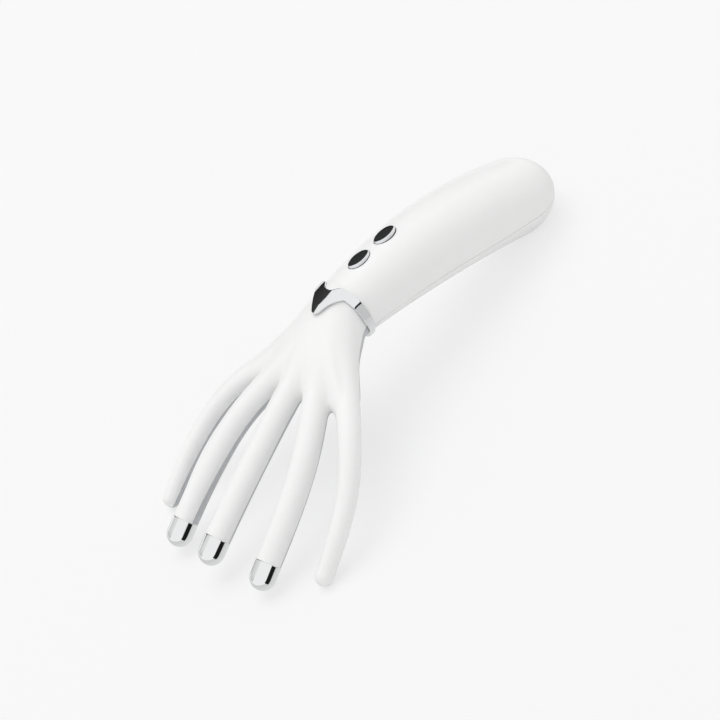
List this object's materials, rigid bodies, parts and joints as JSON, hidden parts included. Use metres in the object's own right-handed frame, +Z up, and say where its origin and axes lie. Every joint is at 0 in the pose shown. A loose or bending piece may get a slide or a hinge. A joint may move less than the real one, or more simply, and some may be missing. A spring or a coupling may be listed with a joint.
{
  "type": "electric scalp massager",
  "caption": "Battery scalp massager shaped like a hand on an arched handle, with chrome electrode fingertips, a vibration motor, a chrome collar and push buttons.",
  "frame": {"origin": "centre of the bounding box's base, on the surface that the massager rests on", "axes": "+X from the tail of the handle to the fingertips, +Y across the hand, +Z up, with the buttons facing up"},
  "size_m": [0.242, 0.117, 0.0643],
  "materials": {
    "white_gloss": "polished white ABS",
    "grey_gloss": "polished light grey ABS",
    "white_inner": "moulded white ABS, inside only",
    "silver_chrome": "chromed ABS, mirror",
    "contact_chrome": "chromed metal, mirror",
    "seal_rubber": "soft silicone",
    "brass_turned": "turned brass",
    "lead_white": "insulated wire",
    "lead_red": "insulated wire",
    "lead_blue": "insulated wire",
    "board_green": "solder resist on glass fibre board",
    "screw_steel": "zinc plated steel",
    "chip_black": "moulded epoxy",
    "ferrite": "ferrite core with tape",
    "can_aluminium": "capacitor can",
    "switch_steel": "stamped steel",
    "black_plastic": "moulded black plastic",
    "cell_sleeve": "sleeved steel can",
    "motor_steel": "drawn steel",
    "magnet": "sintered magnet",
    "armature": "iron core with copper windings"
  },
  "bodies": {
    "massager_body": {"handle_top_shell": "white_gloss", "handle_bottom_cover": "white_gloss", "hand_top_shell": "white_gloss", "hand_bottom_shell": "grey_gloss", "collar_ring": "silver_chrome", "neck_coupling": "white_inner", "handle_seam_gasket": "seal_rubber", "electrode_cap_index": "contact_chrome", "electrode_cap_middle": "contact_chrome", "electrode_cap_ring": "contact_chrome", "contact_insert_index": "brass_turned", "contact_insert_middle": "brass_turned", "contact_insert_ring": "brass_turned", "electrode_lead_index": "lead_white", "electrode_lead_middle": "lead_white", "electrode_lead_ring": "lead_white", "main_board": "board_green", "board_screws": "screw_steel", "controller_chip": "chip_black", "pulse_transformer": "ferrite", "filter_capacitor": "can_aluminium", "power_switch": "switch_steel", "mode_switch": "switch_steel", "charge_board": "board_green", "charge_board_screws": "screw_steel", "charge_port_shell": "switch_steel", "charge_port_tongue": "black_plastic", "battery_cell": "cell_sleeve", "battery_cradle": "black_plastic", "cell_strap": "switch_steel", "battery_leads": "lead_red", "charge_leads": "lead_red", "motor_leads": "lead_blue", "motor_can": "motor_steel", "motor_bearing": "brass_turned", "motor_end_cap": "black_plastic", "motor_magnet": "magnet", "motor_sleeve": "seal_rubber", "motor_bracket": "white_inner", "bracket_screws": "screw_steel", "cover_screws": "screw_steel", "hand_screws": "screw_steel"},
    "power_press": {"power_button": "silver_chrome", "power_switch_plunger": "black_plastic"},
    "mode_press": {"mode_button": "silver_chrome", "mode_switch_plunger": "black_plastic"},
    "motor_rotor": {"motor_armature": "armature", "motor_shaft": "motor_steel", "eccentric_weight": "brass_turned"}
  },
  "joints": [
    {"name": "power_button_press", "type": "slide", "parent": "massager_body", "child": "power_press", "axis": [0.1011, 0, -0.9949], "range_m": [0, 0.0006], "stiffness_N_per_m": 1500},
    {"name": "mode_button_press", "type": "slide", "parent": "massager_body", "child": "mode_press", "axis": [0.1011, 0, -0.9949], "range_m": [0, 0.0006], "stiffness_N_per_m": 1500},
    {"name": "motor_spin", "type": "hinge", "parent": "massager_body", "child": "motor_rotor", "pos_m": [0.0152, 0, 0.0458], "axis": [0.9848, 0, -0.1736], "continuous": true}
  ]
}
